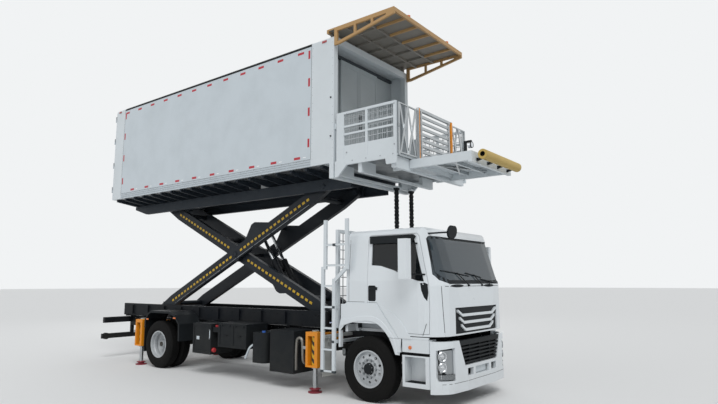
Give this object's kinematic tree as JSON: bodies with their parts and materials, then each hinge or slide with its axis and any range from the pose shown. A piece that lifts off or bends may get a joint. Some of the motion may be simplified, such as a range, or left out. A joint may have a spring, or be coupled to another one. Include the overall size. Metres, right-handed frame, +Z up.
{
  "type": "high-lift catering truck",
  "caption": "Cab-over truck with a scissor-lifted box body, a guarded loading platform, an extending bridge and a canopy for serving aircraft doors.",
  "frame": {"origin": "on the floor, under the middle of the truck's length and width", "axes": "+X towards the front of the truck, +Y to its left, +Z up"},
  "size_m": [10.53, 3.06, 6.675],
  "materials": {
    "chassis_paint": "satin",
    "lift_paint": "satin",
    "axle_iron": "rough",
    "engine_iron": "rough",
    "cab_paint": "gloss",
    "white_steel": "satin",
    "panel_white": "gloss",
    "roof_panel": "satin",
    "black_plastic": "matte",
    "box_plastic": "matte",
    "lamp": "gloss",
    "tank_aluminium": "brushed",
    "rail_aluminium": "brushed",
    "floor_metal": "satin",
    "stabilizer_paint": "satin",
    "leg_steel": "smooth",
    "rod_chrome": "polished",
    "tyre": "matte",
    "rim": "satin",
    "canopy_paint": "satin",
    "foam": "matte",
    "chain_black": "matte",
    "glass": "clear",
    "seat_grey": "woven",
    "underframe_paint": "satin"
  },
  "bodies": {
    "chassis": {"chassis_frame": "chassis_paint", "lift_base": "lift_paint", "front_axle": "axle_iron", "rear_axle": "axle_iron", "engine": "engine_iron", "bumper": "cab_paint", "lower_grille": "black_plastic", "headlamps": "lamp", "cab_steps": "cab_paint", "mudguards": "black_plastic", "side_boxes": "box_plastic", "fuel_tank": "tank_aluminium", "ladder": "white_steel", "mesh_rack": "white_steel", "stabilizer_beams": "stabilizer_paint", "hose_chains": "chain_black"},
    "knuckle_right": {"knuckle_right": "axle_iron"},
    "knuckle_left": {"knuckle_left": "axle_iron"},
    "wheel_front_right": {"front_tyre_right": "tyre", "front_rim_right": "rim"},
    "wheel_front_left": {"front_tyre_left": "tyre", "front_rim_left": "rim"},
    "wheel_rear_right": {"rear_tyres_right": "tyre", "rear_rims_right": "rim"},
    "wheel_rear_left": {"rear_tyres_left": "tyre", "rear_rims_left": "rim"},
    "leg_front_right": {"leg_front_right": "leg_steel"},
    "leg_front_left": {"leg_front_left": "leg_steel"},
    "leg_rear_right": {"leg_rear_right": "leg_steel"},
    "leg_rear_left": {"leg_rear_left": "leg_steel"},
    "scissor_inner": {"scissor_inner": "lift_paint"},
    "scissor_outer": {"scissor_outer": "lift_paint"},
    "cylinder_barrels": {"cylinder_barrels": "lift_paint"},
    "cylinder_rods": {"cylinder_rods": "rod_chrome"},
    "box": {"underframe": "underframe_paint", "body_floor": "floor_metal", "side_walls": "panel_white", "roof": "roof_panel", "end_frames": "white_steel", "canopy": "canopy_paint"},
    "rear_door_right": {"rear_door_right": "panel_white"},
    "rear_door_left": {"rear_door_left": "panel_white"},
    "front_door_right": {"front_door_right": "rail_aluminium"},
    "front_door_left": {"front_door_left": "rail_aluminium"},
    "platform": {"platform_deck": "rail_aluminium", "platform_guards": "white_steel", "platform_gate": "rail_aluminium"},
    "bridge": {"bridge_deck": "rail_aluminium", "bumper_roller": "foam"},
    "cab": {"cab_shell": "cab_paint", "cab_grille": "black_plastic", "windscreen": "glass", "cab_interior": "seat_grey"},
    "cab_door_right": {"cab_door_right": "cab_paint", "door_glass_right": "glass"},
    "cab_door_left": {"cab_door_left": "cab_paint", "door_glass_left": "glass"}
  },
  "joints": [
    {"name": "lift", "type": "hinge", "parent": "chassis", "child": "scissor_inner", "pos_m": [1.735, 0, 1.3], "axis": [0, 1, 0], "range_deg": [-22.04, 0], "deforming": ["hose_chains"]},
    {"name": "scissor_cross", "type": "hinge", "parent": "scissor_inner", "child": "scissor_outer", "pos_m": [-0.95363, 0, 2.55], "axis": [0, 1, 0], "range_deg": [0, 44.11]},
    {"name": "body_level", "type": "hinge", "parent": "scissor_outer", "child": "box", "pos_m": [1.735, 0, 3.8], "axis": [0, 1, 0], "range_deg": [-22.05, 0]},
    {"name": "barrel_pivot", "type": "hinge", "parent": "scissor_inner", "child": "cylinder_barrels", "pos_m": [0.34332, 0, 1.7816], "axis": [0, 1, 0], "range_deg": [-1.51, 0]},
    {"name": "rod_slide", "type": "slide", "parent": "cylinder_barrels", "child": "cylinder_rods", "axis": [-0.5606, 0, 0.8281], "range_m": [-0.51, 0]},
    {"name": "platform_hoist", "type": "slide", "parent": "box", "child": "platform", "axis": [0, 0, 1], "range_m": [0, 1.301]},
    {"name": "bridge_slide", "type": "slide", "parent": "platform", "child": "bridge", "axis": [1, 0, 0], "range_m": [-0.9, 0]},
    {"name": "front_door_right_slide", "type": "slide", "parent": "box", "child": "front_door_right", "axis": [0, -1, 0], "range_m": [0, 0.52]},
    {"name": "front_door_left_slide", "type": "slide", "parent": "box", "child": "front_door_left", "axis": [0, 1, 0], "range_m": [0, 0.52]},
    {"name": "rear_door_right_hinge", "type": "hinge", "parent": "box", "child": "rear_door_right", "pos_m": [-5.108, -1.242, 5.2], "axis": [0, 0, 1], "range_deg": [0, 180]},
    {"name": "rear_door_left_hinge", "type": "hinge", "parent": "box", "child": "rear_door_left", "pos_m": [-5.108, 1.242, 5.2], "axis": [0, 0, -1], "range_deg": [0, 180]},
    {"name": "cab_tilt", "type": "hinge", "parent": "chassis", "child": "cab", "pos_m": [4.585, 0, 0.76], "axis": [0, 1, 0], "range_deg": [0, 45]},
    {"name": "cab_door_right_hinge", "type": "hinge", "parent": "cab", "child": "cab_door_right", "pos_m": [4.435, -1.189, 2], "axis": [0, 0, 1], "range_deg": [0, 65]},
    {"name": "cab_door_left_hinge", "type": "hinge", "parent": "cab", "child": "cab_door_left", "pos_m": [4.435, 1.189, 2], "axis": [0, 0, -1], "range_deg": [0, 65]},
    {"name": "steer_right", "type": "hinge", "parent": "chassis", "child": "knuckle_right", "pos_m": [3.285, -0.93, 0.525], "axis": [0, 0, 1], "range_deg": [-35, 35]},
    {"name": "steer_left", "type": "hinge", "parent": "chassis", "child": "knuckle_left", "pos_m": [3.285, 0.93, 0.525], "axis": [0, 0, 1], "range_deg": [-35, 35]},
    {"name": "front_wheel_right_spin", "type": "hinge", "parent": "knuckle_right", "child": "wheel_front_right", "pos_m": [3.285, -1.08, 0.525], "axis": [0, 1, 0], "continuous": true},
    {"name": "front_wheel_left_spin", "type": "hinge", "parent": "knuckle_left", "child": "wheel_front_left", "pos_m": [3.285, 1.08, 0.525], "axis": [0, 1, 0], "continuous": true},
    {"name": "rear_wheel_right_spin", "type": "hinge", "parent": "chassis", "child": "wheel_rear_right", "pos_m": [-2.715, -1, 0.525], "axis": [0, 1, 0], "continuous": true},
    {"name": "rear_wheel_left_spin", "type": "hinge", "parent": "chassis", "child": "wheel_rear_left", "pos_m": [-2.715, 1, 0.525], "axis": [0, 1, 0], "continuous": true},
    {"name": "leg_front_right_slide", "type": "slide", "parent": "chassis", "child": "leg_front_right", "axis": [0, 0, 1], "range_m": [0, 0.3]},
    {"name": "leg_front_left_slide", "type": "slide", "parent": "chassis", "child": "leg_front_left", "axis": [0, 0, 1], "range_m": [0, 0.3]},
    {"name": "leg_rear_right_slide", "type": "slide", "parent": "chassis", "child": "leg_rear_right", "axis": [0, 0, 1], "range_m": [0, 0.3]},
    {"name": "leg_rear_left_slide", "type": "slide", "parent": "chassis", "child": "leg_rear_left", "axis": [0, 0, 1], "range_m": [0, 0.3]}
  ],
  "couplings": [
    {"joint": "scissor_cross", "follows": "lift", "ratio": -2},
    {"joint": "body_level", "follows": "lift", "ratio": 1},
    {"joint": "barrel_pivot", "follows": "lift", "ratio": 0.0672},
    {"joint": "rod_slide", "follows": "lift", "m_per_rad": 1.3238},
    {"joint": "platform_hoist", "follows": "lift", "m_per_rad": -3.3803},
    {"joint": "steer_left", "follows": "steer_right", "ratio": 1}
  ]
}
